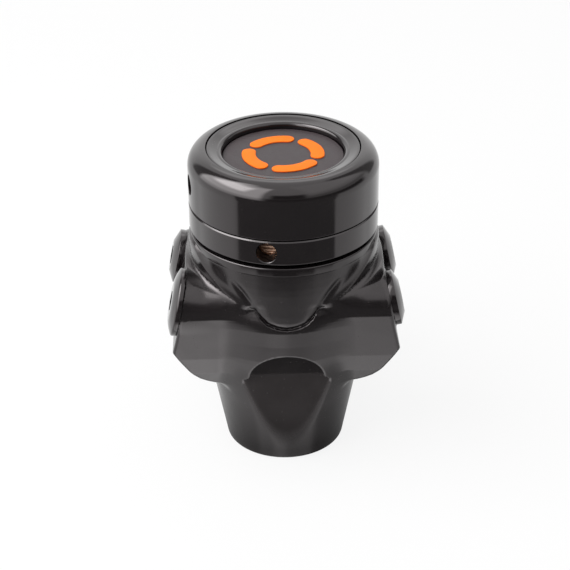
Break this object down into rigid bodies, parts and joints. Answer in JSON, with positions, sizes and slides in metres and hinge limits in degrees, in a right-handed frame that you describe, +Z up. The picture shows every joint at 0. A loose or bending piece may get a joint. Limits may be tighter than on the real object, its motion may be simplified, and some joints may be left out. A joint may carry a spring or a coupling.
{
  "type": "scuba regulator first stage",
  "caption": "Balanced diaphragm first stage of a scuba regulator: upright black body, screwed cap over a soft membrane, plugged hose ports and a rear handwheel connector.",
  "frame": {"origin": "centre of the flat foot of the stem", "axes": "+Z up the main axis towards the cap, +Y along the inlet connector away from the body, +X to the right as the front is seen"},
  "size_m": [0.0614, 0.0886, 0.0843],
  "materials": {
    "black_shell": "deep gloss black plating on brass",
    "black_rubber": "matt moulded rubber",
    "orange_rubber": "smooth bright orange rubber",
    "brass": "turned brass",
    "sintered_bronze": "grainy sintered bronze",
    "steel": "bright turned stainless steel",
    "white_plastic": "plain moulded plastic",
    "grip": "fine grained black grip plastic"
  },
  "bodies": {
    "housing": {"body": "black_shell", "clamp_ring": "black_shell", "end_cap": "black_shell", "retaining_ring": "black_shell", "membrane_rim": "black_rubber", "thrust_washer": "steel", "diaphragm_rim": "black_rubber", "orifice": "brass", "balance_block": "brass", "low_plug_left_front": "black_shell", "low_plug_left_rear": "black_shell", "low_plug_right_front": "black_shell", "low_plug_right_rear": "black_shell", "high_plug_left": "black_shell", "high_plug_right": "black_shell", "low_seal_left_front": "black_rubber", "low_seal_left_rear": "black_rubber", "low_seal_right_front": "black_rubber", "low_seal_right_rear": "black_rubber", "high_seal_left": "black_rubber", "high_seal_right": "black_rubber", "inlet_base": "black_shell", "inlet_stem": "steel", "inlet_face_seal": "black_rubber", "inlet_base_seal": "black_rubber", "inlet_filter": "sintered_bronze", "filter_clip": "steel"},
    "valve_train": {"membrane": "black_rubber", "membrane_mark_1": "orange_rubber", "membrane_mark_2": "orange_rubber", "membrane_mark_3": "orange_rubber", "membrane_mark_4": "orange_rubber", "load_transmitter": "white_plastic", "spring_pad": "brass", "main_diaphragm": "black_rubber", "lifter": "steel", "poppet": "white_plastic", "main_spring": "steel", "valve_spring": "steel"},
    "adjuster": {"spring_adjuster": "brass"},
    "wheel": {"handwheel": "grip", "coupling_thread": "steel"}
  },
  "joints": [
    {"name": "membrane_press", "type": "slide", "parent": "housing", "child": "valve_train", "axis": [0, 0, -1], "range_m": [0, 0.0008], "stiffness_N_per_m": 600, "springref_m": -0.001, "deforming": ["main_spring", "valve_spring"]},
    {"name": "adjuster_turn", "type": "hinge", "parent": "housing", "child": "adjuster", "pos_m": [0, 0, 0.0756], "axis": [0, 0, -1], "range_deg": [-180, 180]},
    {"name": "handwheel_spin", "type": "hinge", "parent": "housing", "child": "wheel", "pos_m": [0, 0.04, 0.024], "axis": [0, 1, 0], "continuous": true}
  ]
}
